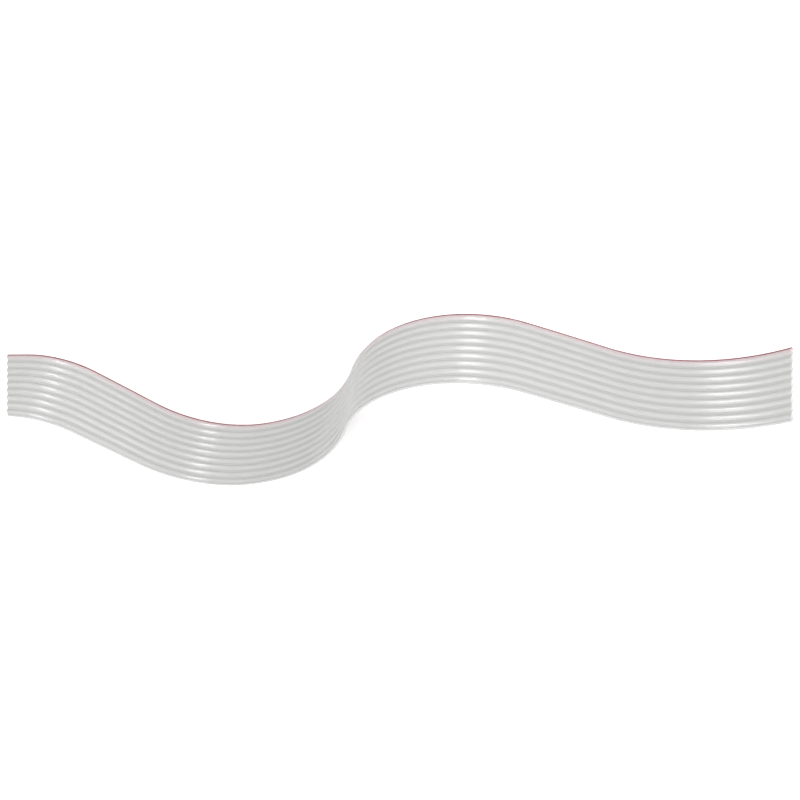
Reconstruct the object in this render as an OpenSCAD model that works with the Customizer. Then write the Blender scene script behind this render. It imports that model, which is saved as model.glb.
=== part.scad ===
// Flat ribbon cable with round, webbed insulation over stranded conductors.
// It lies slack in one wave, with its length along X and its width along Y, and rests on two troughs.

/* [Cable] */
// Number of insulated conductors side by side
ways = 9; // [2:1:16]
// Distance between neighbouring conductors
pitch = 1.27; // [1.2:0.01:2.54]
// Diameter of the round insulation over each conductor
lobe_d = 0.89; // [0.8:0.01:1.1]
// Thickness of the flat web that joins the round lobes
web_t = 0.36; // [0.25:0.01:0.5]
// Distance from an outer conductor's centre to the edge of the cable
edge_w = 0.635; // [0.6:0.005:0.8]

/* [Conductors] */
// Diameter of one strand
strand_d = 0.127; // [0.1:0.001:0.15]
// Gap between neighbouring strands
strand_gap = 0.004; // [0.002:0.001:0.01]
// Clearance between the bundle of strands and the insulation
bore_clearance = 0.01; // [0.005:0.005:0.03]

/* [Marking stripe] */
// Depth of the red stripe under the first way
stripe_t = 0.07; // [0.04:0.01:0.12]

/* [Wave] */
// Slope at which the cable comes down into its first bend, in degrees
start_slope = 13.5; // [5:0.5:25]
// Radius of the bend into the long drop
crest_r = 11.9; // [8:0.1:20]
// Slope at which that bend ends, in degrees
drop_slope = 64.5; // [50:0.5:75]
// Length of the nearly straight drop
drop_l = 11.2; // [4:0.1:20]
// Radius of the first trough, coming down
trough_in_r = 16.4; // [10:0.1:25]
// Radius of the first trough, going up
trough_out_r = 27.2; // [22:0.1:35]
// Slope at which the first trough ends, in degrees
rise_slope = 54; // [46:0.5:60]
// Radius of the hump between the troughs
hump_r = 18.8; // [12:0.1:25]
// Slope at which the hump ends, in degrees
fall_slope = 40.5; // [30:0.5:43]
// Radius of the second trough
last_r = 26.4; // [20:0.1:30]

/* [Ends] */
// Length between the first cut end and the first bend, along the middle
start_l = 1.5; // [0.5:0.1:10]
// Angle by which the first cut end is off square, in degrees
start_skew = 20; // [0:0.5:30]
// Slope at which the cable is cut off after the second trough, in degrees
end_slope = 12.3; // [5:0.1:20]
// Angle by which the last cut end is off square, in degrees
end_skew = 6; // [0:0.5:30]

/* [Hidden] */
$fn = 36;

width = (ways - 1) * pitch + 2 * edge_w;
// Six strands lie round one
outer_strands = 6;
// A strand is so thin that fewer facets will do
strand_fn = 16;
strand_step = strand_d + strand_gap;
bundle_d = 2 * strand_step + strand_d;
bore_d = bundle_d + 2 * bore_clearance;

// How much the sweep runs on past a cut, before it is trimmed
trim_l = 1;
start_over = width / 2 * tan(start_skew) + trim_l;
end_over = width / 2 * tan(end_skew) + trim_l;
// The trimming block is larger than anything that it cuts off
block = 2 * width;

// A nearly straight stretch is a bend of a large radius that turns by this much, in degrees
flank_turn = 1;
// Neighbouring stretches overlap by this much, in degrees, so that they join into one solid
join_turn = 0.000001;
function hundredth(v) = round(v * 100) / 100;
function flank_r(l) = hundredth(l / flank_turn * 180 / PI);
run_in_l = start_l + start_over;
// The second flank is as long as it takes to bring both troughs to one level
foot_slope = fall_slope + flank_turn;
climb = trough_out_r * (1 - cos(rise_slope)) + hump_r * (cos(fall_slope) - cos(rise_slope));
descent = last_r * (1 - cos(foot_slope));
fall_r = hundredth((climb - descent) / (cos(fall_slope) - cos(foot_slope)));
run_out_turn = end_slope + hundredth(end_over / last_r * 180 / PI);

// The stretches in order, each [radius, turn in degrees], where a positive turn is upwards
wave = [
    [flank_r(run_in_l), -flank_turn],
    [crest_r, start_slope - drop_slope],
    [flank_r(drop_l), -flank_turn],
    [trough_in_r, drop_slope + flank_turn],
    [trough_out_r, rise_slope],
    [hump_r, -rise_slope - fall_slope],
    [fall_r, -flank_turn],
    [last_r, foot_slope + run_out_turn],
];
run_in = 0;
last = len(wave) - 1;
trough_out = last - 3;

// Heading where a stretch starts, in degrees above level
function heading(i) = i == 0 ? flank_turn - start_slope : heading(i - 1) + wave[i - 1][1];
function bends_up(i) = wave[i][1] > 0;
// From a point on a stretch, where the heading is h, to the centre of its bend
function to_centre(i, h) = (bends_up(i) ? 1 : -1) * wave[i][0] * [-sin(h), cos(h)];
// Where a stretch starts, with the first one at [0, 0]
function start_point(i) = i == 0 ? [0, 0] : point_at(i - 1, wave[i - 1][1]);
// A point on a stretch, after part of its turn
function point_at(i, turn) =
    start_point(i) + to_centre(i, heading(i)) - to_centre(i, heading(i) + turn);
function bend_centre(i) = start_point(i) + to_centre(i, heading(i));
function stretch_l(i) = wave[i][0] * abs(wave[i][1]) * PI / 180;
// Length along the middle, up to where a stretch starts
function length_before(i) = i == 0 ? 0 : length_before(i - 1) + stretch_l(i - 1);

// The two cuts, on the middle of the cable
start_cut_turn = -flank_turn * start_over / run_in_l;
start_cut = point_at(run_in, start_cut_turn);
start_heading = heading(run_in) + start_cut_turn;
end_cut_turn = foot_slope + end_slope;
end_cut = point_at(last, end_cut_turn);
end_cut_l = length_before(last) + last_r * end_cut_turn * PI / 180;

// The frame stands on the lowest line of the troughs, midway between the corners of the two ends
function corner_reach(skew, h) = width / 2 * tan(skew) * cos(h) + web_t / 2 * abs(sin(h));
low_x = start_cut[0] - corner_reach(start_skew, start_heading);
high_x = end_cut[0] + corner_reach(end_skew, end_slope);
origin = [(low_x + high_x) / 2, start_point(trough_out)[1] - lobe_d / 2];

function way_at(way) = (way - (ways + 1) / 2) * pitch;

// Moves from the origin to a point of the wave, in a coarse and a fine step,
// so that neighbouring stretches share their end faces exactly
module at_point(p) {
    to = p - origin;
    coarse = [hundredth(to[0]), hundredth(to[1])];
    fine = to - coarse;
    translate([coarse[0], coarse[1], 0])
        translate([fine[0], fine[1], 0])
            children();
}

// One stretch of whatever section is given, which has its upper side towards +X.
// It can be drawn from one share of its turn to another.
module stretch(i, from = 0, to = 1) {
    radius = wave[i][0];
    turn = wave[i][1];
    begin = bends_up(i) ? heading(i) + from * turn - 90 : heading(i) + to * turn + 90;
    swept_turn = (to - from) * abs(turn);
    at_point(bend_centre(i))
        rotate_extrude(angle = swept_turn + 2 * join_turn, start = begin - join_turn)
            translate([radius, 0])
                mirror([bends_up(i) ? 1 : 0, 0])
                    children();
}

// Everything past a cut: before it for side -1, and after it for side 1
module past_cut(p, h, skew, side) {
    at_point(p)
        rotate([0, 0, h])
            rotate([0, -side * skew, 0])
                translate([side * block / 2, 0, 0])
                    cube(block, center = true);
}

// Sweeps a section along the whole wave and trims both ends
module swept() {
    rotate([90, 0, 0])
        difference() {
            for (i = [0:last])
                stretch(i) children();
            past_cut(start_cut, start_heading, start_skew, -1);
            past_cut(end_cut, end_slope, end_skew, 1);
        }
}

// Sweeps one strand, cut off square where its own middle meets the two cuts
module swept_strand(at) {
    start_at = start_over + at[1] * tan(start_skew);
    end_at = end_cut_l - at[1] * tan(end_skew);
    rotate([90, 0, 0])
        for (i = [0:last]) {
            from = max(0, (start_at - length_before(i)) / stretch_l(i));
            to = min(1, (end_at - length_before(i)) / stretch_l(i));
            if (from < to)
                stretch(i, from, to)
                    translate(at)
                        circle(d = strand_d, $fn = strand_fn);
        }
}

// Sections: X is up through the thickness, and Y runs across the width from the marked edge
module lobe(way) {
    translate([0, way_at(way)])
        circle(d = lobe_d);
}

module whole_section() {
    for (way = [1:ways])
        lobe(way);
    square([web_t, width], center = true);
}

// The edge strip beside the first way, and a skin round the underside of its lobe
module stripe_section() {
    difference() {
        union() {
            lobe(1);
            translate([-web_t / 2, -width / 2])
                square([web_t, edge_w]);
        }
        translate([stripe_t, 0])
            lobe(1);
        translate([-web_t / 2, way_at(1)])
            square([web_t, pitch]);
    }
}

module insulation_section() {
    difference() {
        whole_section();
        stripe_section();
        for (way = [1:ways])
            translate([0, way_at(way)])
                circle(d = bore_d);
    }
}

module insulation() {
    color("#d7d7d5")
        swept()
            insulation_section();
}

module edge_stripe() {
    color("#b8323c")
        swept()
            stripe_section();
}

function strand_at(k) =
    k == 0 ? [0, 0] : strand_step * [cos(k * 360 / outer_strands), sin(k * 360 / outer_strands)];

module conductor(way) {
    color("#c9ccd0")
        for (k = [0:outer_strands])
            swept_strand([0, way_at(way)] + strand_at(k));
}

insulation();
edge_stripe();
for (way = [1:ways])
    conductor(way);
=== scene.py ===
"""A grey flat ribbon cable of nine ways, with a red edge, lying slack in one wave.

Lengths are in metres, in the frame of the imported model: X along the cable, Y across it, Z up.
"""

import logging
import math
from dataclasses import dataclass, field
from enum import Enum
from typing import Any

import bpy
from mathutils import Matrix, Vector


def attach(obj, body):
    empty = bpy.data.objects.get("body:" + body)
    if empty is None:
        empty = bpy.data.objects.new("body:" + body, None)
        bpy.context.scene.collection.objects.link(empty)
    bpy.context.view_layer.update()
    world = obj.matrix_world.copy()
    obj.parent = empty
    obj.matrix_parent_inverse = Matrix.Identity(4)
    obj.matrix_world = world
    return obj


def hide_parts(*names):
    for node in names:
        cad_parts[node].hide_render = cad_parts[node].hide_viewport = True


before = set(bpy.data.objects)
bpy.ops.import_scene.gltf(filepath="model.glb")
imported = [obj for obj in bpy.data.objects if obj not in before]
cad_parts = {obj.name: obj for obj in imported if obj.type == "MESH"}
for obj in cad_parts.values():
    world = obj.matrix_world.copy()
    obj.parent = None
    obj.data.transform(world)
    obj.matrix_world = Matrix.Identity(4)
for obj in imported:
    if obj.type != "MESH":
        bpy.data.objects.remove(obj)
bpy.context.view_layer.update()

LOG = logging.getLogger("ribbon_cable")
MM = 0.001
BODY = "root"
# The attribute that keeps where a point lies on the straight cable: along it, across it and in height
PLACE = "flat_place"
# What the laying group needs, besides the geometry
LAYING = {"Line": "Object", "Length": "Float", "Before": "Float", "Start skew": "Float", "End skew": "Float"}

Point2 = tuple[float, float]
Colour = tuple[float, float, float, float]


class Slot(Enum):
    """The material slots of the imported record."""

    GREY_PVC = "grey_pvc"
    RED_PVC = "red_pvc"
    TINNED_COPPER = "tinned_copper"


@dataclass(frozen=True)
class Bend:
    """One stretch of the wave, as a radius and a turn in degrees that is positive where it bends up."""

    radius: float
    turn: float

    @property
    def length(self) -> float:
        """Length along the middle of the cable."""
        return self.radius * math.radians(abs(self.turn))


@dataclass(frozen=True)
class CableSizes:
    """The section of the cable and of what it holds."""

    ways: int = 9
    pitch: float = 1.27 * MM
    lobe_d: float = 0.89 * MM
    web_t: float = 0.36 * MM
    edge_w: float = 0.635 * MM
    stripe_t: float = 0.07 * MM
    strand_d: float = 0.127 * MM
    strand_gap: float = 0.004 * MM
    bore_clearance: float = 0.01 * MM
    outer_strands: int = 6

    @property
    def width(self) -> float:
        """Width over the webs, from edge to edge."""
        return (self.ways - 1) * self.pitch + 2 * self.edge_w

    @property
    def strand_step(self) -> float:
        """Distance from the middle strand to each of those round it."""
        return self.strand_d + self.strand_gap

    @property
    def bore_r(self) -> float:
        """Radius of the bore that holds one bundle of strands."""
        return self.strand_step + self.strand_d / 2 + self.bore_clearance

    def way_at(self, way: int) -> float:
        """Place across the cable of a way, where the first one lies beside the red edge.

        Args:
            way: Number of the way, from 1.

        Returns:
            The place along Y.
        """
        return ((self.ways + 1) / 2 - way) * self.pitch


@dataclass(frozen=True)
class Wave:
    """The line that the middle of the cable follows, as a chain of bends, and the two oblique cuts."""

    sizes: CableSizes = CableSizes()
    start_slope: float = 13.5
    crest_r: float = 11.9 * MM
    drop_slope: float = 64.5
    drop_l: float = 11.2 * MM
    trough_in_r: float = 16.4 * MM
    trough_out_r: float = 27.2 * MM
    rise_slope: float = 54.0
    hump_r: float = 18.8 * MM
    fall_slope: float = 40.5
    last_r: float = 26.4 * MM
    start_l: float = 1.5 * MM
    start_skew: float = 20.0
    end_slope: float = 12.3
    end_skew: float = 6.0
    # A nearly straight stretch turns by this much
    flank_turn: float = 1.0
    # How far the line runs on past the far corner of a cut
    spare_l: float = 1.0 * MM
    line_step: float = 0.2 * MM
    # The pieces end this much short, because their last face leans with the bend past the cut
    cut_short: float = 0.01 * MM

    def overrun(self, skew: float) -> float:
        """How far the line runs on past a cut, so that the far corner is still on it.

        Args:
            skew: Angle of the cut off square, in degrees.

        Returns:
            The length along the line.
        """
        return self.sizes.width / 2 * math.tan(math.radians(skew)) + self.spare_l

    @property
    def start_over(self) -> float:
        """Length of the line before the first cut."""
        return self.overrun(self.start_skew)

    @property
    def bends(self) -> list[Bend]:
        """The stretches in order, where a nearly straight one is a bend of a large radius.

        Returns:
            The bends, from before the first cut to past the second.
        """
        flank = math.radians(self.flank_turn)
        foot = self.fall_slope + self.flank_turn
        slopes = (self.rise_slope, self.fall_slope, foot)
        cos_rise, cos_fall, cos_foot = (math.cos(math.radians(slope)) for slope in slopes)
        climb = self.trough_out_r * (1 - cos_rise) + self.hump_r * (cos_fall - cos_rise)
        descent = self.last_r * (1 - cos_foot)
        fall_r = (climb - descent) / (cos_fall - cos_foot)
        run_out = self.end_slope + math.degrees(self.overrun(self.end_skew) / self.last_r)
        return [
            Bend((self.start_l + self.start_over) / flank, -self.flank_turn),
            Bend(self.crest_r, self.start_slope - self.drop_slope),
            Bend(self.drop_l / flank, -self.flank_turn),
            Bend(self.trough_in_r, self.drop_slope + self.flank_turn),
            Bend(self.trough_out_r, self.rise_slope),
            Bend(self.hump_r, -self.rise_slope - self.fall_slope),
            Bend(fall_r, -self.flank_turn),
            Bend(self.last_r, foot + run_out),
        ]

    @property
    def length(self) -> float:
        """Length of the middle of the cable, from cut to cut."""
        return sum(b.length for b in self.bends) - self.start_over - self.overrun(self.end_skew)

    def raw_line(self) -> list[Vector]:
        """Points along the whole line, from a start at the origin.

        Returns:
            The points, in the plane of X and Z.
        """
        place = Vector((0.0, 0.0, 0.0))
        heading = math.radians(self.flank_turn - self.start_slope)
        points = [place]
        for bend in self.bends:
            steps = math.ceil(bend.length / self.line_step)
            turn = math.radians(bend.turn)
            side = math.copysign(bend.radius, turn)
            centre = place + side * Vector((-math.sin(heading), 0.0, math.cos(heading)))
            for k in range(1, steps + 1):
                h = heading + turn * k / steps
                points.append(centre - side * Vector((-math.sin(h), 0.0, math.cos(h))))
            place, heading = points[-1], heading + turn
        return points

    def line(self) -> list[Vector]:
        """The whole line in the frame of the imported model, standing on its lowest trough.

        Returns:
            Points about a fifth of a millimetre apart.
        """
        points = self.raw_line()
        first, start_heading = self.at(points, self.start_over)
        last, end_heading = self.at(points, self.start_over + self.length)
        low_x = first.x - self.corner_reach(self.start_skew, start_heading)
        high_x = last.x + self.corner_reach(self.end_skew, end_heading)
        middle = (low_x + high_x) / 2
        floor = min(p.z for p in points) - self.sizes.lobe_d / 2
        return [p - Vector((middle, 0.0, floor)) for p in points]

    def corner_reach(self, skew: float, heading: float) -> float:
        """How far a corner of a cut lies past the middle of the cut, along X.

        Args:
            skew: Angle of the cut off square, in degrees.
            heading: Heading of the line at the cut, in radians.

        Returns:
            The distance along X.
        """
        across = self.sizes.width / 2 * math.tan(math.radians(skew)) * math.cos(heading)
        return across + self.sizes.web_t / 2 * abs(math.sin(heading))

    @staticmethod
    def at(points: list[Vector], length: float) -> tuple[Vector, float]:
        """The point and heading on a line after some length.

        Args:
            points: The line's points.
            length: Length along it.

        Returns:
            The point, and its heading in radians.
        """
        left = length
        for a, b in zip(points, points[1:]):
            step = (b - a).length
            if left <= step:
                return a.lerp(b, left / step), math.atan2(b.z - a.z, b.x - a.x)
            left -= step
        return points[-1], math.atan2(points[-1].z - points[-2].z, points[-1].x - points[-2].x)

    def cable_line(self) -> list[Vector]:
        """The middle of the cable from cut to cut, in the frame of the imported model.

        Returns:
            The points, where the first and the last lie in the cuts.
        """
        points, along = self.line(), 0.0
        first, _ = self.at(points, self.start_over)
        last, _ = self.at(points, self.start_over + self.length)
        inside = []
        for a, b in zip(points, points[1:]):
            along += (b - a).length
            if self.start_over < along < self.start_over + self.length:
                inside.append(b)
        return [first, *inside, last]


def arc(centre: Point2, radius: float, start: float, end: float, steps: int) -> list[Point2]:
    """Points on a circle's arc, both ends included.

    Args:
        centre: Centre of the circle.
        radius: Its radius.
        start: Angle of the first point, in degrees.
        end: Angle of the last point, in degrees.
        steps: Number of straight steps between them.

    Returns:
        The points.
    """
    angles = [math.radians(start + (end - start) * k / steps) for k in range(steps + 1)]
    return [(centre[0] + radius * math.cos(a), centre[1] + radius * math.sin(a)) for a in angles]


@dataclass(frozen=True)
class Section:
    """Outlines across the cable, in (place across, height), which run anticlockwise round the plastic."""

    sizes: CableSizes = CableSizes()
    fillet_r: float = 0.08 * MM
    edge_r: float = 0.06 * MM
    lobe_steps: int = 13
    fillet_steps: int = 4
    bore_steps: int = 12
    skin_steps: int = 18

    @property
    def fillet_reach(self) -> Point2:
        """From a lobe's centre to the centre of the fillet beside it, across and in height."""
        height = self.sizes.web_t / 2 + self.fillet_r
        return math.sqrt((self.sizes.lobe_d / 2 + self.fillet_r) ** 2 - height**2), height

    @property
    def fillet_angle(self) -> float:
        """Slope of the line between those two centres, in degrees."""
        across, height = self.fillet_reach
        return math.degrees(math.atan2(height, across))

    @property
    def web_angle(self) -> float:
        """Where the face of the web meets a lobe without a fillet, round the lobe from level, in degrees."""
        return math.degrees(math.asin(self.sizes.web_t / self.sizes.lobe_d))

    def under_lobe(self, at: float) -> list[Point2]:
        """The underside of a lobe with the fillets on both sides of it, from -Y to +Y.

        Args:
            at: Place of the lobe across the cable.

        Returns:
            The points.
        """
        across, height = self.fillet_reach
        slope = self.fillet_angle
        return [
            *arc((at - across, -height), self.fillet_r, 90, slope, self.fillet_steps)[:-1],
            *arc((at, 0), self.sizes.lobe_d / 2, 180 + slope, 360 - slope, self.lobe_steps),
            *arc((at + across, -height), self.fillet_r, 180 - slope, 90, self.fillet_steps)[1:],
        ]

    @staticmethod
    def over(under: list[Point2]) -> list[Point2]:
        """The upper side that mirrors an underside, run from +Y to -Y."""
        return [(x, -h) for x, h in reversed(under)]

    @property
    def skin_angles(self) -> Point2:
        """Where the red skin's inner face starts and ends on its circle.

        Returns:
            Both angles, in degrees.
        """
        r, half, t = self.sizes.lobe_d / 2, self.sizes.web_t / 2, self.sizes.stripe_t
        start, end = (math.degrees(math.asin(height / r)) for height in (half + t, half - t))
        return 180 + start, 360 + end

    def skin(self) -> list[Point2]:
        """The face between the grey plastic and the red, under and beside the first lobe, from -Y to +Y."""
        centre = (self.sizes.way_at(1), self.sizes.stripe_t)
        return arc(centre, self.sizes.lobe_d / 2, *self.skin_angles, self.skin_steps)

    def grey(self) -> list[Point2]:
        """The outline of the grey plastic.

        Returns:
            The points, from the plain edge along the underside and back along the top.
        """
        s = self.sizes
        half, edge = s.web_t / 2, -s.width / 2
        first = s.way_at(1)
        under = [p for way in range(s.ways, 1, -1) for p in self.under_lobe(s.way_at(way))]
        across, height = self.fillet_reach
        slope = self.fillet_angle
        first_top = arc((first, 0), s.lobe_d / 2, self.web_angle, 180 - slope, self.lobe_steps)
        first_fillet = arc((first - across, height), self.fillet_r, -slope, -90, self.fillet_steps)
        return [
            *arc((edge + self.edge_r, -half + self.edge_r), self.edge_r, 180, 270, self.fillet_steps),
            *under,
            *self.skin(),
            *first_top,
            *first_fillet[1:],
            *self.over(under),
            *arc((edge + self.edge_r, half - self.edge_r), self.edge_r, 90, 180, self.fillet_steps),
        ]

    def red(self) -> list[Point2]:
        """The outline of the red plastic: the edge beside the first way, and a skin round its underside.

        Returns:
            The points, from under the lobe round the edge and back along the skin.
        """
        s = self.sizes
        half, edge, first = s.web_t / 2, s.width / 2, s.way_at(1)
        return [
            *arc((first, 0), s.lobe_d / 2, 180 + self.web_angle, 360 - self.web_angle, self.lobe_steps),
            *arc((edge - self.edge_r, -half + self.edge_r), self.edge_r, 270, 360, self.fillet_steps),
            *arc((edge - self.edge_r, half - self.edge_r), self.edge_r, 0, 90, self.fillet_steps),
            *reversed(self.skin()),
        ]

    def bores(self) -> list[list[Point2]]:
        """The bores for the conductors, each run clockwise because it is a hole.

        Returns:
            The points of each bore, from the first way to the last.
        """
        s = self.sizes
        return [arc((s.way_at(way), 0), s.bore_r, 360, 360 / self.bore_steps, self.bore_steps - 1)
                for way in range(1, s.ways + 1)]


class Tree:
    """A node tree under construction, with short calls that add, set and join its nodes."""

    # Numbers of a colour Mix node's sockets
    MIX_SHARE, MIX_A, MIX_B, MIX_RESULT = 0, 6, 7, 2

    def __init__(self, tree: bpy.types.NodeTree) -> None:
        """Takes the tree to build in.

        Args:
            tree: The tree of a node group or of a material.
        """
        self.tree = tree

    def socket(self, name: str, kind: str, *, output: bool = False) -> None:
        """Adds a socket to the group's own face.

        Args:
            name: Its name.
            kind: Its type without the leading words, such as Float.
            output: True for an output.
        """
        side = "OUTPUT" if output else "INPUT"
        self.tree.interface.new_socket(name, in_out=side, socket_type="NodeSocket" + kind)

    def add(self, kind: str, inputs: dict[str | int, Any] | None = None, **settings: Any) -> bpy.types.Node:
        """Adds a node.

        Args:
            kind: The node's type name.
            inputs: For each input, by name or number, another node's output to join or a value to set.
            settings: The node's own properties.

        Returns:
            The node.
        """
        node = self.tree.nodes.new(kind)
        for name, value in settings.items():
            setattr(node, name, value)
        for key, value in (inputs or {}).items():
            self.feed(node.inputs[key], value)
        return node

    def feed(self, target: bpy.types.NodeSocket, value: Any) -> None:
        """Joins an output to an input, or sets the input's value.

        Args:
            target: The input.
            value: An output socket, or a plain value.
        """
        if isinstance(value, bpy.types.NodeSocket):
            self.tree.links.new(value, target)
        else:
            target.default_value = value

    def math(self, operation: str, *values: Any) -> bpy.types.NodeSocket:
        """Adds a Math node and gives its output.

        Args:
            operation: What it does.
            values: Its operands, as outputs or numbers.

        Returns:
            The result's output.
        """
        node = self.add("ShaderNodeMath", dict(enumerate(values)), operation=operation)
        return node.outputs[0]

    def vector(self, operation: str, *values: Any) -> bpy.types.NodeSocket:
        """Adds a Vector Math node and gives its vector output.

        Args:
            operation: What it does.
            values: Its operands, as outputs or vectors.

        Returns:
            The result's output.
        """
        node = self.add("ShaderNodeVectorMath", dict(enumerate(values)), operation=operation)
        return node.outputs["Vector"]

    def scaled(self, vector: Any, by: Any) -> bpy.types.NodeSocket:
        """A vector times a number.

        Args:
            vector: The vector's output.
            by: The number, or its output.

        Returns:
            The result's output.
        """
        node = self.add("ShaderNodeVectorMath", {"Vector": vector, "Scale": by}, operation="SCALE")
        return node.outputs[0]

    def parts(self, vector: Any) -> Any:
        """The X, Y and Z outputs of a vector that is taken apart."""
        return self.add("ShaderNodeSeparateXYZ", {0: vector}).outputs

    def ramp(self, value: Any, low: float, high: float,
             to_low: float = 0.0, to_high: float = 1.0) -> bpy.types.NodeSocket:
        """A smooth step from one value to another.

        Args:
            value: What it follows.
            low: Where it starts.
            high: Where it ends.
            to_low: The result below the start.
            to_high: The result past the end.

        Returns:
            The result's output.
        """
        node = self.add(
            "ShaderNodeMapRange",
            {"Value": value, "From Min": low, "From Max": high, "To Min": to_low, "To Max": to_high},
            interpolation_type="SMOOTHSTEP",
        )
        return node.outputs["Result"]

    def mixed(self, share: Any, a: Any, b: Any) -> bpy.types.NodeSocket:
        """Two colours mixed.

        Args:
            share: Share of the second one.
            a: The first colour.
            b: The second colour.

        Returns:
            The result's output.
        """
        node = self.add("ShaderNodeMix", data_type="RGBA")
        self.feed(node.inputs[self.MIX_SHARE], share)
        self.feed(node.inputs[self.MIX_A], a)
        self.feed(node.inputs[self.MIX_B], b)
        return node.outputs[self.MIX_RESULT]


def geometry_group(name: str) -> Tree:
    """A new Geometry Nodes group.

    Args:
        name: Its name.

    Returns:
        The tree, with no nodes.
    """
    return Tree(bpy.data.node_groups.new(name, "GeometryNodeTree"))


def laying_group() -> bpy.types.NodeTree:
    """The group that lays straight geometry along the wave and keeps where it was as an attribute.

    The straight cable has its width along X, its height along Y and its length along Z.

    Returns:
        The group, with a Geometry input and output and the sizes of the cable as inputs.
    """
    t = geometry_group("lay along the wave")
    t.socket("Geometry", "Geometry")
    for name, kind in LAYING.items():
        t.socket(name, kind)
    t.socket("Geometry", "Geometry", output=True)
    given = t.add("NodeGroupInput").outputs
    place = t.parts(t.add("GeometryNodeInputPosition").outputs[0])
    across, height, along = place["X"], place["Y"], place["Z"]
    kept = t.add("ShaderNodeCombineXYZ", {"X": along, "Y": across, "Z": height}).outputs[0]
    stored = t.add(
        "GeometryNodeStoreNamedAttribute",
        {"Geometry": given["Geometry"], "Name": PLACE, "Value": kept},
        data_type="FLOAT_VECTOR", domain="POINT",
    )
    start = t.math("SUBTRACT", given["Before"], t.math("MULTIPLY", across, given["Start skew"]))
    grown = t.math("MULTIPLY", across, t.math("ADD", given["Start skew"], given["End skew"]))
    whole = t.math("ADD", given["Length"], grown)
    share = t.math("DIVIDE", along, given["Length"])
    reached = t.math("MULTIPLY_ADD", share, whole, start)
    line = t.add("GeometryNodeObjectInfo", {"Object": given["Line"]}).outputs["Geometry"]
    sample = t.add(
        "GeometryNodeSampleCurve", {"Curves": line, "Length": reached}, mode="LENGTH", use_all_curves=True
    )
    tangent = t.parts(t.vector("NORMALIZE", sample.outputs["Tangent"]))
    back = t.math("MULTIPLY", tangent["Z"], -1.0)
    normal = t.add("ShaderNodeCombineXYZ", {"X": back, "Z": tangent["X"]}).outputs[0]
    sideways = t.add("ShaderNodeCombineXYZ", {"Y": across}).outputs[0]
    raised = t.vector("ADD", sample.outputs["Position"], t.scaled(normal, height))
    on_wave = t.vector("ADD", raised, sideways)
    laid = t.add("GeometryNodeSetPosition", {"Geometry": stored.outputs[0], "Position": on_wave})
    t.add("NodeGroupOutput", {"Geometry": laid.outputs[0]})
    return t.tree


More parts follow.
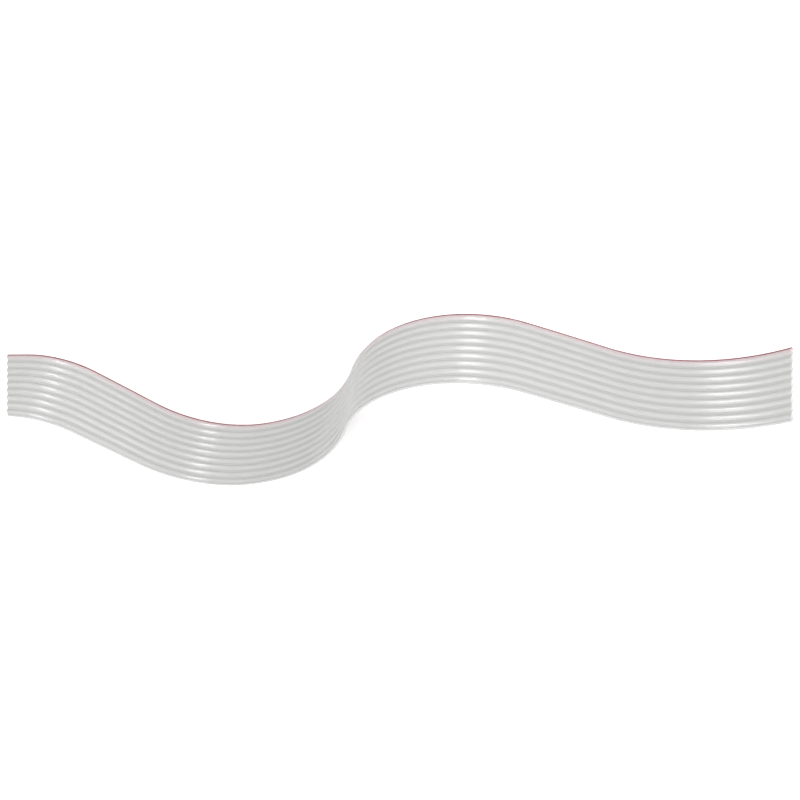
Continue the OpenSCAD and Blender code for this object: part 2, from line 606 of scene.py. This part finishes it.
class Sweep:
    """The Geometry Nodes trees that make the cable's pieces along the wave."""

    # An edge sharper than this is drawn as a corner
    FACE_ANGLE = math.radians(35)
    # Points closer than this are one point, where the walls meet the ends
    MERGE = 0.5e-6

    def __init__(self, wave: Wave) -> None:
        """Builds the trees and the line that they follow.

        Args:
            wave: The wave that the cable lies in.
        """
        self.wave = wave
        self.laying = laying_group()
        self.plastic = self.plastic_tree()
        self.strands = self.strand_tree()
        self.line = self.curve("wave_line", [[tuple(p) for p in wave.line()]], closed=False)

    @staticmethod
    def curve(name: str, loops: list[list[tuple[float, ...]]], closed: bool) -> bpy.types.Object:
        """A helper curve of straight steps, which isn't a piece of the cable.

        Args:
            name: Its name.
            loops: The points of each of its splines.
            closed: Whether they are closed.

        Returns:
            The curve's object, linked to the scene.
        """
        data = bpy.data.curves.new(name, "CURVE")
        data.dimensions = "3D"
        for points in loops:
            spline = data.splines.new("POLY")
            spline.points.add(len(points) - 1)
            for target, p in zip(spline.points, points):
                target.co = (*p, *(0.0,) * (3 - len(p)), 1.0)
            spline.use_cyclic_u = closed
        made = bpy.data.objects.new(name, data)
        bpy.context.scene.collection.objects.link(made)
        return made

    def sized(self, name: str, more: dict[str, str]) -> Tree:
        """A tree with the inputs that every piece of the cable has.

        Args:
            name: The tree's name.
            more: Further inputs, each with its type.

        Returns:
            The tree.
        """
        t = geometry_group(name)
        t.socket("Geometry", "Geometry")
        for size, kind in {**LAYING, "Rings": "Int", **more, "Material": "Material"}.items():
            t.socket(size, kind)
        t.socket("Geometry", "Geometry", output=True)
        return t

    def finish_tree(self, t: Tree, given: Any, geometry: bpy.types.NodeSocket) -> bpy.types.NodeTree:
        """Ends a tree: lays the straight piece along the wave, and gives it its finish.

        Args:
            t: The tree.
            given: The outputs of its Group Input.
            geometry: The straight piece.

        Returns:
            The finished tree.
        """
        angle = t.add("GeometryNodeInputMeshEdgeAngle").outputs["Unsigned Angle"]
        corner = t.math("GREATER_THAN", angle, self.FACE_ANGLE)
        smooth = t.add(
            "GeometryNodeSetShadeSmooth", {"Geometry": geometry, "Shade Smooth": True}, domain="FACE"
        )
        creased = t.add(
            "GeometryNodeSetShadeSmooth",
            {"Geometry": smooth.outputs[0], "Selection": corner, "Shade Smooth": False}, domain="EDGE",
        )
        laid = t.add("GeometryNodeGroup", node_tree=self.laying)
        t.feed(laid.inputs["Geometry"], creased.outputs[0])
        for name in LAYING:
            t.feed(laid.inputs[name], given[name])
        real = t.add("GeometryNodeRealizeInstances", {"Geometry": laid.outputs[0]})
        dressed = t.add(
            "GeometryNodeSetMaterial", {"Geometry": real.outputs[0], "Material": given["Material"]}
        )
        t.add("NodeGroupOutput", {"Geometry": dressed.outputs[0]})
        return t.tree

    @staticmethod
    def straight(t: Tree, given: Any) -> bpy.types.NodeSocket:
        """The middle line of the straight cable, with a point for each ring.

        Args:
            t: The tree.
            given: The outputs of its Group Input.

        Returns:
            The curve's output.
        """
        end = t.add("ShaderNodeCombineXYZ", {"Z": given["Length"]}).outputs[0]
        line = t.add("GeometryNodeCurvePrimitiveLine", {"End": end}, mode="POINTS")
        return t.add(
            "GeometryNodeResampleCurve", {"Curve": line.outputs[0], "Count": given["Rings"]}, mode="COUNT"
        ).outputs[0]

    def plastic_tree(self) -> bpy.types.NodeTree:
        """The tree that sweeps closed outlines into walls, and closes both ends between them.

        Returns:
            The tree, with the outlines as its Section input.
        """
        t = self.sized("sweep plastic", {"Section": "Object"})
        given = t.add("NodeGroupInput").outputs
        outline = t.add("GeometryNodeObjectInfo", {"Object": given["Section"]}).outputs["Geometry"]
        place = t.add("GeometryNodeInputPosition").outputs[0]
        on_outline = self.captured(t, outline, place, "VECTOR")
        parameter = t.add("GeometryNodeSplineParameter").outputs["Factor"]
        on_line = self.captured(t, self.straight(t, given), parameter, "FLOAT")
        walls = t.add(
            "GeometryNodeCurveToMesh", {"Curve": on_line.outputs[0], "Profile Curve": on_outline.outputs[0]}
        ).outputs[0]
        along = t.math("MULTIPLY", on_line.outputs[1], given["Length"])
        lift = t.add("ShaderNodeCombineXYZ", {"Z": along}).outputs[0]
        flat = t.vector("ADD", on_outline.outputs[1], lift)
        walls = t.add("GeometryNodeSetPosition", {"Geometry": walls, "Position": flat}).outputs[0]
        last = t.add("GeometryNodeFillCurve", {"Curve": outline}, mode="TRIANGLES").outputs[0]
        first = t.add("GeometryNodeFlipFaces", {"Mesh": last}).outputs[0]
        to_end = t.add("ShaderNodeCombineXYZ", {"Z": given["Length"]}).outputs[0]
        last = t.add("GeometryNodeSetPosition", {"Geometry": last, "Offset": to_end}).outputs[0]
        joined = t.add("GeometryNodeJoinGeometry")
        for part in (walls, first, last):
            t.feed(joined.inputs[0], part)
        closed = t.add("GeometryNodeMergeByDistance", {"Geometry": joined.outputs[0], "Distance": self.MERGE})
        return self.finish_tree(t, given, closed.outputs[0])

    @staticmethod
    def captured(t: Tree, geometry: Any, value: Any, kind: str) -> bpy.types.Node:
        """Keeps a value on each point of a curve or of a cloud of points.

        Args:
            t: The tree.
            geometry: The curve or the points.
            value: The value.
            kind: Its kind, FLOAT or VECTOR.

        Returns:
            The node, whose outputs are the geometry and the kept value.
        """
        node = t.add("GeometryNodeCaptureAttribute", {"Geometry": geometry}, domain="POINT")
        node.capture_items.new(kind, "kept")
        t.feed(node.inputs[1], value)
        return node

    def strand_tree(self) -> bpy.types.NodeTree:
        """The tree that twists round strands about a middle one.

        Returns:
            The tree, with the sizes of the bundle as inputs.
        """
        t = self.sized("twist strands", {
            "Way": "Float", "Strand radius": "Float", "Strand step": "Float", "Twist length": "Float",
            "Outer strands": "Int", "Sides": "Int",
        })
        given = t.add("NodeGroupInput").outputs
        index = t.add("GeometryNodeInputIndex").outputs[0]
        ring = t.add("GeometryNodePoints", {"Count": t.math("ADD", given["Outer strands"], 1.0)})
        turn = t.math("DIVIDE", math.tau, given["Outer strands"])
        phase = self.captured(t, ring.outputs[0], t.math("MULTIPLY", index, turn), "FLOAT")
        outer = t.math("LESS_THAN", index, given["Outer strands"])
        orbit = self.captured(t, phase.outputs[0], t.math("MULTIPLY", outer, given["Strand step"]), "FLOAT")
        lines = t.add(
            "GeometryNodeInstanceOnPoints", {"Points": orbit.outputs[0], "Instance": self.straight(t, given)}
        )
        real = t.add("GeometryNodeRealizeInstances", {"Geometry": lines.outputs[0]}).outputs[0]
        along = t.parts(t.add("GeometryNodeInputPosition").outputs[0])["Z"]
        spin = t.math("MULTIPLY", t.math("DIVIDE", along, given["Twist length"]), math.tau)
        angle = t.math("ADD", spin, phase.outputs[1])
        across = t.math("MULTIPLY_ADD", t.math("COSINE", angle), orbit.outputs[1], given["Way"])
        height = t.math("MULTIPLY", t.math("SINE", angle), orbit.outputs[1])
        twisted = t.add("ShaderNodeCombineXYZ", {"X": across, "Y": height, "Z": along}).outputs[0]
        helix = t.add("GeometryNodeSetPosition", {"Geometry": real, "Position": twisted}).outputs[0]
        section = t.add(
            "GeometryNodeCurvePrimitiveCircle",
            {"Resolution": given["Sides"], "Radius": given["Strand radius"]},
        ).outputs[0]
        tubes = t.add(
            "GeometryNodeCurveToMesh", {"Curve": helix, "Profile Curve": section, "Fill Caps": True}
        )
        return self.finish_tree(t, given, tubes.outputs[0])

    def piece(self, name: str, tree: bpy.types.NodeTree, rings: int, material: bpy.types.Material,
              sizes: dict[str, Any]) -> bpy.types.Object:
        """Runs a tree and keeps its result as a plain mesh at the origin.

        Args:
            name: Name of the piece.
            tree: The tree.
            rings: Number of rings along the cable.
            material: Its finish.
            sizes: The tree's further inputs by name.

        Returns:
            The piece's object.
        """
        host = bpy.data.objects.new(name + "_host", bpy.data.meshes.new(name + "_host"))
        bpy.context.scene.collection.objects.link(host)
        modifier = host.modifiers.new("sweep", "NODES")
        modifier.node_group = tree
        wave = self.wave
        given = {
            "Line": self.line,
            "Length": wave.length - wave.cut_short,
            "Before": wave.start_over,
            "Start skew": math.tan(math.radians(wave.start_skew)),
            "End skew": math.tan(math.radians(wave.end_skew)),
            "Rings": rings,
            "Material": material,
            **sizes,
        }
        for item in tree.interface.items_tree:
            if item.item_type == "SOCKET" and item.in_out == "INPUT" and item.name in given:
                modifier[item.identifier] = given[item.name]
        evaluated = host.evaluated_get(bpy.context.evaluated_depsgraph_get())
        mesh = bpy.data.meshes.new_from_object(evaluated)
        mesh.name = name
        host.modifiers.remove(modifier)
        bpy.data.objects.remove(host)
        made = bpy.data.objects.new(name, mesh)
        bpy.context.scene.collection.objects.link(made)
        return made

    @staticmethod
    def clear(*helpers: bpy.types.Object) -> None:
        """Removes helper curves once the pieces are made."""
        for helper in helpers:
            bpy.data.objects.remove(helper)


class MarksGroup:
    """The shader node group for the marks that drawing through a die leaves, which all the finishes share."""

    # How many finer layers each noise has
    LINE_DETAIL, CLOUD_DETAIL = 3.0, 2.0

    def __init__(self) -> None:
        """Builds the group."""
        t = Tree(bpy.data.node_groups.new("die marks", "ShaderNodeTree"))
        for name in ("Line width", "Line length", "Cloud size"):
            t.socket(name, "Float")
        for name in ("Lines", "Cloud", "Height"):
            t.socket(name, "Float", output=True)
        given = t.add("NodeGroupInput").outputs
        place = t.add("ShaderNodeAttribute", attribute_name=PLACE).outputs["Vector"]
        parts = t.parts(place)
        stretched = t.add("ShaderNodeCombineXYZ", {
            "X": t.math("DIVIDE", parts["X"], given["Line length"]),
            "Y": t.math("DIVIDE", parts["Y"], given["Line width"]),
            "Z": t.math("DIVIDE", parts["Z"], given["Line width"]),
        }).outputs[0]
        in_clouds = t.scaled(place, t.math("DIVIDE", 1.0, given["Cloud size"]))
        lines = self.noise(t, stretched, self.LINE_DETAIL)
        cloud = self.noise(t, in_clouds, self.CLOUD_DETAIL)
        t.add("NodeGroupOutput", {"Lines": lines, "Cloud": cloud, "Height": t.math("ADD", lines, cloud)})
        self.tree = t.tree

    @staticmethod
    def noise(t: Tree, place: Any, detail: float) -> bpy.types.NodeSocket:
        """A noise value at a place that is already scaled."""
        inputs = {"Vector": place, "Scale": 1.0, "Detail": detail}
        return t.add("ShaderNodeTexNoise", inputs).outputs[0]


@dataclass(frozen=True)
class MarkScale:
    """How wide and long the lines of the die are on a finish, how large its clouds, and how deep both."""

    line_width: float
    line_length: float
    cloud_size: float
    depth: float


@dataclass(frozen=True)
class Finish:
    """What all the finishes share."""

    name: str
    marks: MarksGroup

    def start(self, scale: MarkScale) -> tuple[Tree, bpy.types.Material, Any, Any]:
        """A new material with a Principled BSDF and the die marks, which give it their bump.

        Args:
            scale: The scale of the marks.

        Returns:
            The tree, the material, the marks' outputs and the shader's inputs.
        """
        material = bpy.data.materials.new(self.name)
        material.use_nodes = True
        t = Tree(material.node_tree)
        t.tree.nodes.clear()
        marks = t.add("ShaderNodeGroup", node_tree=self.marks.tree)
        marks.inputs["Line width"].default_value = scale.line_width
        marks.inputs["Line length"].default_value = scale.line_length
        marks.inputs["Cloud size"].default_value = scale.cloud_size
        shader = t.add("ShaderNodeBsdfPrincipled")
        t.add("ShaderNodeOutputMaterial", {"Surface": shader.outputs[0]})
        bump = {"Height": marks.outputs["Height"], "Distance": scale.depth, "Strength": 1.0}
        t.feed(shader.inputs["Normal"], t.add("ShaderNodeBump", bump).outputs[0])
        return t, material, marks.outputs, shader.inputs


@dataclass(frozen=True)
class GreyPvc(Finish):
    """Milky light-grey PVC, satin: lighter on the lobes' flanks as painted light, darker between the lobes
    and towards the plain edge as painted shade, pinkish by the red edge.
    """

    ridge: Colour = (0.586, 0.586, 0.579, 1.0)
    # painted light: the lobes' flanks are lighter than their tops
    flank: Colour = (0.632, 0.632, 0.625, 1.0)
    # painted shade between the lobes; the random clouds take this grey too
    groove_shade_and_cloud: Colour = (0.553, 0.553, 0.549, 1.0)
    # painted shade: darker grey towards the plain edge
    edge_shade_grey: Colour = (0.5, 0.5, 0.497, 1.0)
    cast: Colour = (0.66, 0.52, 0.54, 1.0)
    # The most that the painted shade towards the plain edge, the pink cast and the clouds take up
    edge_shade_share: float = 0.8
    cast_share: float = 0.7
    cloud_share: float = 0.12
    # Where the ridge's grey starts over the flank's painted light, and where it is full, as shares of the way
    # up from the web to the top of the lobe
    ridge_rise: Point2 = (0.4, 0.9)
    # How far past the middle of the last lobe the painted shade towards the plain edge reaches
    edge_shade_reach: float = 0.127 * MM
    # How far past the lobe the painted shade between lobes starts, and how far before the middle of the web
    # it is full
    groove_inset: float = 0.02 * MM
    # Smoothest and roughest along the lines of the die
    roughness: Point2 = (0.16, 0.26)
    # Between which values of its noise a mark comes up
    cloud_range: Point2 = (0.3, 0.7)
    line_range: Point2 = (0.25, 0.75)
    ior: float = 1.53
    glow_share: float = 0.7
    glow_depth: float = 0.4 * MM
    scale: MarkScale = MarkScale(0.05 * MM, 30 * MM, 2.5 * MM, 0.0012 * MM)
    sizes: CableSizes = CableSizes()

    def colour(self, t: Tree, cloud: bpy.types.NodeSocket) -> bpy.types.NodeSocket:
        """The colour, by the place on the cable, with painted light on the lobes' flanks and painted shade
        between the lobes and towards the plain edge.

        Args:
            t: The material's tree.
            cloud: The clouds' output.

        Returns:
            The colour's output.
        """
        parts = t.parts(t.add("ShaderNodeAttribute", attribute_name=PLACE).outputs["Vector"])
        web, lobe, pitch = self.sizes.web_t / 2, self.sizes.lobe_d / 2, self.sizes.pitch
        first, last = self.sizes.way_at(1), self.sizes.way_at(self.sizes.ways)
        off_centre = t.math("PINGPONG", t.math("SUBTRACT", parts["Y"], first), pitch / 2)
        # painted shade: the web between the lobes darker
        painted_groove_shade = t.ramp(off_centre, lobe + self.groove_inset, pitch / 2 - self.groove_inset)
        # painted light: the lobes' flanks lighter, giving way to the ridge's grey towards the top
        low, high = (web + share * (lobe - web) for share in self.ridge_rise)
        on_top = t.ramp(t.math("ABSOLUTE", parts["Z"]), low, high)
        by_red = t.ramp(parts["Y"], first - pitch / 2, first + lobe / 2, 0.0, self.cast_share)
        # painted shade: darker towards the plain edge
        painted_edge_shade = t.ramp(parts["Y"], -self.sizes.width / 2, last + self.edge_shade_reach, self.edge_shade_share, 0.0)
        clouded = t.ramp(cloud, *self.cloud_range, 0.0, self.cloud_share)
        colour = t.mixed(on_top, self.flank, self.ridge)
        colour = t.mixed(painted_groove_shade, colour, self.groove_shade_and_cloud)
        colour = t.mixed(clouded, colour, self.groove_shade_and_cloud)
        colour = t.mixed(by_red, colour, self.cast)
        return t.mixed(painted_edge_shade, colour, self.edge_shade_grey)

    def material(self) -> bpy.types.Material:
        """Builds the material.

        Returns:
            The material.
        """
        t, material, marks, shader = self.start(self.scale)
        t.feed(shader["Base Color"], self.colour(t, marks["Cloud"]))
        t.feed(shader["Roughness"], t.ramp(marks["Lines"], *self.line_range, *self.roughness))
        shader["IOR"].default_value = self.ior
        shader["Subsurface Weight"].default_value = self.glow_share
        shader["Subsurface Radius"].default_value = (1.0, 1.0, 1.0)
        shader["Subsurface Scale"].default_value = self.glow_depth
        return material


@dataclass(frozen=True)
class RedPvc(Finish):
    """The red marking plastic, satin."""

    fresh: Colour = (0.27, 0.04, 0.05, 1.0)
    faded: Colour = (0.35, 0.075, 0.085, 1.0)
    roughness: Point2 = (0.27, 0.38)
    cloud_range: Point2 = (0.25, 0.75)
    line_range: Point2 = (0.25, 0.75)
    ior: float = 1.53
    scale: MarkScale = MarkScale(0.05 * MM, 25 * MM, 1.5 * MM, 0.001 * MM)

    def material(self) -> bpy.types.Material:
        """Builds the material.

        Returns:
            The material.
        """
        t, material, marks, shader = self.start(self.scale)
        fading = t.ramp(marks["Cloud"], *self.cloud_range)
        t.feed(shader["Base Color"], t.mixed(fading, self.fresh, self.faded))
        t.feed(shader["Roughness"], t.ramp(marks["Lines"], *self.line_range, *self.roughness))
        shader["IOR"].default_value = self.ior
        return material


@dataclass(frozen=True)
class TinnedCopper(Finish):
    """Bright tinned wire, drawn through a die, with a warm cast where the tin is thin."""

    tin: Colour = (0.73, 0.73, 0.74, 1.0)
    thin_tin: Colour = (0.66, 0.56, 0.47, 1.0)
    thin_share: float = 0.45
    roughness: Point2 = (0.2, 0.38)
    cloud_range: Point2 = (0.5, 0.8)
    line_range: Point2 = (0.2, 0.8)
    scale: MarkScale = MarkScale(0.012 * MM, 3 * MM, 0.4 * MM, 0.0008 * MM)

    def material(self) -> bpy.types.Material:
        """Builds the material.

        Returns:
            The material.
        """
        t, material, marks, shader = self.start(self.scale)
        worn = t.ramp(marks["Cloud"], *self.cloud_range, 0.0, self.thin_share)
        t.feed(shader["Base Color"], t.mixed(worn, self.tin, self.thin_tin))
        t.feed(shader["Roughness"], t.ramp(marks["Lines"], *self.line_range, *self.roughness))
        shader["Metallic"].default_value = 1.0
        return material


@dataclass
class Insulation:
    """The grey plastic with its nine lobes, and the red strip on its first edge."""

    sweep: Sweep
    section: Section
    grey: bpy.types.Material
    red: bpy.types.Material
    rings: int = 165

    def plastic(self, name: str, loops: list[list[Point2]],
                material: bpy.types.Material) -> bpy.types.Object:
        """Sweeps closed outlines along the wave.

        Args:
            name: Name of the piece.
            loops: Its outlines.
            material: Its finish.

        Returns:
            The piece.
        """
        outline = Sweep.curve(name + "_outline", loops, closed=True)
        made = self.sweep.piece(name, self.sweep.plastic, self.rings, material, {"Section": outline})
        self.sweep.clear(outline)
        return made

    def build(self) -> tuple[bpy.types.Object, bpy.types.Object]:
        """Builds both pieces.

        Returns:
            The grey piece and the red one.
        """
        loops = [self.section.grey(), *self.section.bores()]
        jacket = self.plastic("ribbed_jacket", loops, self.grey)
        strip = self.plastic("red_strip", [self.section.red()], self.red)
        dress(jacket, "insulation")
        dress(strip, "edge_stripe")
        return jacket, strip


@dataclass
class Conductors:
    """The nine conductors, each of seven twisted strands of tinned copper."""

    sweep: Sweep
    sizes: CableSizes
    tin: bpy.types.Material
    twist_length: float = 13.0 * MM
    rings: int = 200
    sides: int = 8

    def build(self) -> list[bpy.types.Object]:
        """Builds one piece for each way.

        Returns:
            The pieces, from the first way to the last.
        """
        made = []
        for way in range(1, self.sizes.ways + 1):
            bundle = {
                "Way": self.sizes.way_at(way),
                "Strand radius": self.sizes.strand_d / 2,
                "Strand step": self.sizes.strand_step,
                "Twist length": self.twist_length,
                "Outer strands": self.sizes.outer_strands,
                "Sides": self.sides,
            }
            piece = self.sweep.piece(f"strands_{way}", self.sweep.strands, self.rings, self.tin, bundle)
            dress(piece, f"conductor_{way}")
            made.append(piece)
        return made


def dress(piece: bpy.types.Object, node: str) -> None:
    """Ties a piece to the body and to the CAD node that it stands for, whose own mesh it hides.

    Args:
        piece: The piece.
        node: The CAD node.
    """
    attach(piece, BODY)
    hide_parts(node)
    LOG.info("%s: %d faces, for %s", piece.name, len(piece.data.polygons), node)


@dataclass(frozen=True)
class PhotoCamera:
    """The camera as it stood for the photograph."""

    place: Vector = field(default_factory=lambda: Vector((57.186, -80.423, 115.999)) * MM)
    azimuth: float = -33.7401
    elevation: float = 47.8062
    roll: float = -34.2874
    lens: float = 44.8155
    sensor: float = 36.0
    nearest: float = 1 * MM
    farthest: float = 10.0

    def build(self) -> bpy.types.Object:
        """Makes the camera the scene's own.

        Returns:
            The camera's object.
        """
        az, el, roll = (math.radians(a) for a in (self.azimuth, self.elevation, self.roll))
        ahead = Vector((math.sin(az) * math.cos(el), math.cos(az) * math.cos(el), -math.sin(el)))
        right = Vector((math.cos(az), -math.sin(az), 0.0))
        up = right.cross(ahead)
        side = right * math.cos(roll) + up * math.sin(roll)
        top = up * math.cos(roll) - right * math.sin(roll)
        data = bpy.data.cameras.new("photo_camera")
        data.lens, data.sensor_width = self.lens, self.sensor
        data.clip_start, data.clip_end = self.nearest, self.farthest
        camera = bpy.data.objects.new("photo_camera", data)
        turn = Matrix((side, top, -ahead)).transposed()
        camera.matrix_world = Matrix.Translation(self.place) @ turn.to_4x4()
        bpy.context.scene.collection.objects.link(camera)
        bpy.context.scene.camera = camera
        return camera


@dataclass(frozen=True)
class SoftBox:
    """A soft box aimed at the middle of the cable, with its length across it."""

    name: str
    place: tuple[float, float, float]
    width: float
    length: float
    power: float

    def build(self) -> bpy.types.Object:
        """Builds the light.

        Returns:
            Its object.
        """
        data = bpy.data.lights.new(self.name, "AREA")
        data.shape, data.energy = "RECTANGLE", self.power
        data.size, data.size_y = self.width, self.length
        light = bpy.data.objects.new(self.name, data)
        back = Vector(self.place).normalized()
        side = Vector((0.0, 1.0, 0.0)).cross(back).normalized()
        turn = Matrix((side, back.cross(side), back)).transposed()
        light.matrix_world = Matrix.Translation(self.place) @ turn.to_4x4()
        bpy.context.scene.collection.objects.link(light)
        return light


@dataclass(frozen=True)
class Studio:
    """A pale floor under soft light, with one long soft box across the cable that lights up its ridges."""

    floor_half: float = 3.0
    floor_tone: Colour = (0.9, 0.9, 0.9, 1.0)
    floor_roughness: float = 0.9
    # How strongly the floor glows under the cable and far from it, and where the one passes into the other
    near_glow: float = 0.42
    far_glow: float = 0.66
    glow_grows: Point2 = (150 * MM, 400 * MM)
    sky: float = 0.42
    key: SoftBox = SoftBox(
        "soft_box", place=(78 * MM, -140 * MM, 260 * MM), width=80 * MM, length=420 * MM, power=0.94
    )

    def build(self) -> None:
        """Builds the floor, the lights and the sky."""
        self.floor()
        self.key.build()
        self.air()
        bpy.context.scene.view_settings.view_transform = "Standard"
        LOG.info("studio: floor, key light and sky")

    def air(self) -> None:
        """Builds the sky, which lights the cable softly and is white to the camera."""
        world = bpy.data.worlds.new("studio")
        world.use_nodes = True
        t = Tree(world.node_tree)
        t.tree.nodes.clear()
        seen = t.add("ShaderNodeLightPath").outputs["Is Camera Ray"]
        strength = t.math("MULTIPLY_ADD", seen, 1.0 - self.sky, self.sky)
        sky = t.add("ShaderNodeBackground", {"Color": (1.0, 1.0, 1.0, 1.0), "Strength": strength})
        t.add("ShaderNodeOutputWorld", {"Surface": sky.outputs[0]})
        bpy.context.scene.world = world

    def floor(self) -> None:
        """Builds the pale floor, which isn't part of the cable and stays white up to the horizon."""
        h = self.floor_half
        mesh = bpy.data.meshes.new("floor")
        mesh.from_pydata([(-h, -h, 0.0), (h, -h, 0.0), (h, h, 0.0), (-h, h, 0.0)], [], [(0, 1, 2, 3)])
        floor = bpy.data.objects.new("floor", mesh)
        material = bpy.data.materials.new("pale_floor")
        material.use_nodes = True
        shader = material.node_tree.nodes["Principled BSDF"]
        shader.inputs["Base Color"].default_value = self.floor_tone
        shader.inputs["Roughness"].default_value = self.floor_roughness
        shader.inputs["Specular IOR Level"].default_value = 0.0
        shader.inputs["Emission Strength"].default_value = 1.0
        t = Tree(material.node_tree)
        place = t.add("ShaderNodeTexCoord").outputs["Object"]
        away = t.add("ShaderNodeVectorMath", {0: place}, operation="LENGTH").outputs["Value"]
        glow = t.ramp(away, *self.glow_grows, self.near_glow, self.far_glow)
        t.feed(shader.inputs["Emission Color"], glow)
        mesh.materials.append(material)
        bpy.context.scene.collection.objects.link(floor)


def main() -> None:
    """Builds the camera, the cable and the studio."""
    logging.basicConfig(level=logging.INFO, format="%(message)s")
    PhotoCamera().build()
    sizes = CableSizes()
    wave = Wave(sizes)
    sweep = Sweep(wave)
    marks = MarksGroup()
    grey = GreyPvc("grey_pvc", marks).material()
    red = RedPvc("red_pvc", marks).material()
    tin = TinnedCopper("tinned_copper", marks).material()
    jacket, strip = Insulation(sweep, Section(sizes), grey, red).build()
    strands = Conductors(sweep, sizes, tin).build()
    sweep.clear(sweep.line)
    line = wave.cable_line()
    wave.length
    LOG.info("cable: %.1f mm long, %.2f mm wide", wave.length / MM, sizes.width / MM)
    Studio().build()


if __name__ == "__main__":
    main()
